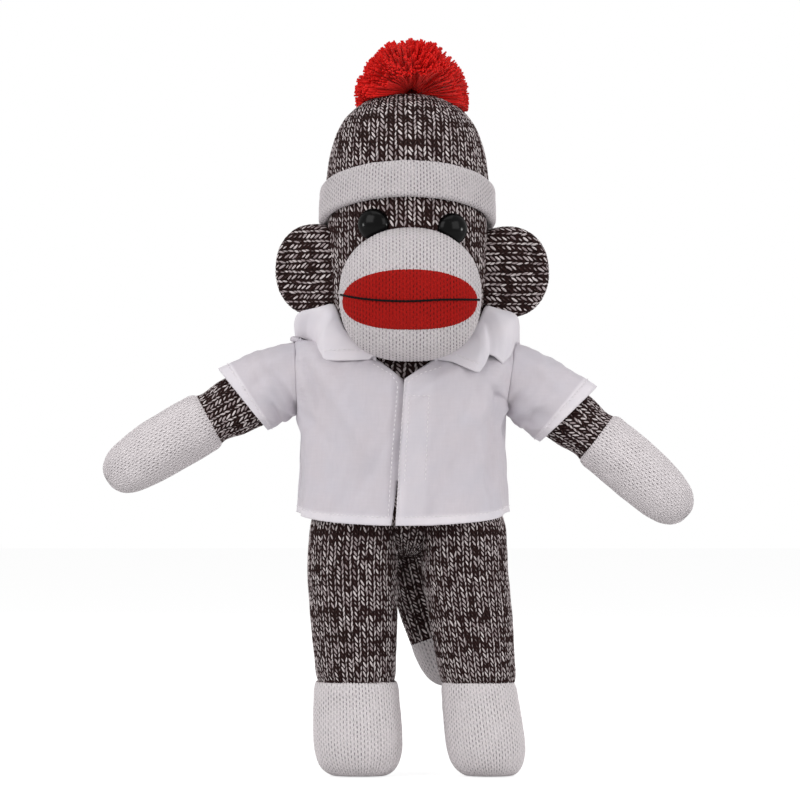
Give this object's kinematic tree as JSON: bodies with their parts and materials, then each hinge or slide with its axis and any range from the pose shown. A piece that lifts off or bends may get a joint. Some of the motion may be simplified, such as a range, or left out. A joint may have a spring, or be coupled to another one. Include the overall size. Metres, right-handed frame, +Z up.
{
  "type": "sock monkey doll",
  "caption": "Stuffed knitted monkey doll in a cuffed hat with a yarn pompom and a short-sleeved shirt. Its head, arms, legs and tail turn.",
  "frame": {"origin": "the middle of the overall box, at the level of the soles", "axes": "+Z up, -Y the way the doll faces, +X the doll's left"},
  "size_m": [0.2435, 0.0976, 0.3046],
  "materials": {
    "marl_knit": "brown and pale marled knit",
    "white_knit": "plain knit",
    "red_knit": "plain knit",
    "red_yarn": "cut yarn",
    "black_thread": "twisted thread",
    "eye_plastic": "polished black",
    "washer_plastic": "moulded",
    "shirt_cotton": "plain woven cotton",
    "hook_tape": "hook tape",
    "loop_tape": "loop tape"
  },
  "bodies": {
    "torso": {"torso": "marl_knit", "shirt_back": "shirt_cotton", "shirt_front_left": "shirt_cotton", "shirt_front_right": "shirt_cotton", "collar": "shirt_cotton", "hook_tape": "hook_tape", "loop_tape": "loop_tape"},
    "head": {"head": "marl_knit", "muzzle": "white_knit", "lips": "red_knit", "mouth_stitch": "black_thread", "eye_left": "eye_plastic", "eye_right": "eye_plastic", "eye_washer_left": "washer_plastic", "eye_washer_right": "washer_plastic", "ear_left": "marl_knit", "ear_right": "marl_knit", "hat_crown": "marl_knit", "hat_cuff": "white_knit", "pompom": "red_yarn"},
    "arm_left": {"arm_left": "marl_knit", "hand_left": "white_knit", "sleeve_left": "shirt_cotton"},
    "arm_right": {"arm_right": "marl_knit", "hand_right": "white_knit", "sleeve_right": "shirt_cotton"},
    "leg_left": {"leg_left": "marl_knit", "foot_left": "white_knit"},
    "leg_right": {"leg_right": "marl_knit", "foot_right": "white_knit"},
    "tail": {"tail": "marl_knit", "tail_tip": "white_knit"}
  },
  "joints": [
    {"name": "neck_turn", "type": "hinge", "parent": "torso", "child": "head", "pos_m": [0.0039, 0, 0.176], "axis": [0, 0, 1], "range_deg": [-12, 12]},
    {"name": "shoulder_left", "type": "hinge", "parent": "torso", "child": "arm_left", "pos_m": [0.046, 0, 0.1642], "axis": [-0.9903, 0, 0.1392], "range_deg": [-60, 105]},
    {"name": "shoulder_right", "type": "hinge", "parent": "torso", "child": "arm_right", "pos_m": [-0.0417, 0, 0.1642], "axis": [-0.9994, 0, -0.0349], "range_deg": [-60, 105]},
    {"name": "hip_left", "type": "hinge", "parent": "torso", "child": "leg_left", "pos_m": [0.0276, 0, 0.085], "axis": [-1, 0, 0], "range_deg": [-10, 90]},
    {"name": "hip_right", "type": "hinge", "parent": "torso", "child": "leg_right", "pos_m": [-0.0189, 0, 0.085], "axis": [-1, 0, 0], "range_deg": [-10, 90]},
    {"name": "tail_swing", "type": "hinge", "parent": "torso", "child": "tail", "pos_m": [0.003, 0.029, 0.0935], "axis": [1, 0, 0], "range_deg": [0, 75]}
  ]
}
